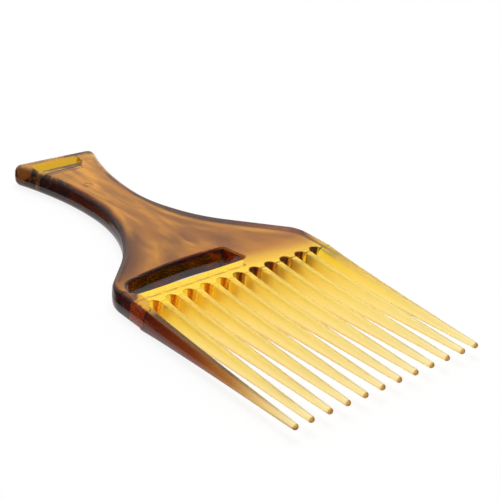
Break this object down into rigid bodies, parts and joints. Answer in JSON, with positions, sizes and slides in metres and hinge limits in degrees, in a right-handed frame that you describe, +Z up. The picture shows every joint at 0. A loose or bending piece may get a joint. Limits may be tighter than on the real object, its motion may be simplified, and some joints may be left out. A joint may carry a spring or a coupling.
{
  "type": "hair pick",
  "caption": "Translucent amber plastic hair pick with long tapered teeth, a finger slot through the head, and a flared handle with a hanging hole.",
  "frame": {"origin": "on the flat underside, at the middle of the length and width", "axes": "+X along the row of teeth, away from the finger slot; +Y from the tooth tips towards the handle's end; +Z up through the thickness"},
  "size_m": [0.075, 0.1703, 0.0078],
  "materials": {
    "bar_plastic": "gloss",
    "handle_plastic": "gloss",
    "tooth_plastic": "gloss"
  },
  "bodies": {
    "root": {"comb_bar": "bar_plastic", "slot_end_post": "bar_plastic", "slot_inner_web": "bar_plastic", "shoulder": "handle_plastic", "handle_grip": "handle_plastic", "hang_loop": "handle_plastic", "tooth_01": "tooth_plastic", "tooth_02": "tooth_plastic", "tooth_03": "tooth_plastic", "tooth_04": "tooth_plastic", "tooth_05": "tooth_plastic", "tooth_06": "tooth_plastic", "tooth_07": "tooth_plastic", "tooth_08": "tooth_plastic", "tooth_09": "tooth_plastic", "tooth_10": "tooth_plastic", "tooth_11": "tooth_plastic", "tooth_12": "tooth_plastic"}
  },
  "joints": []
}
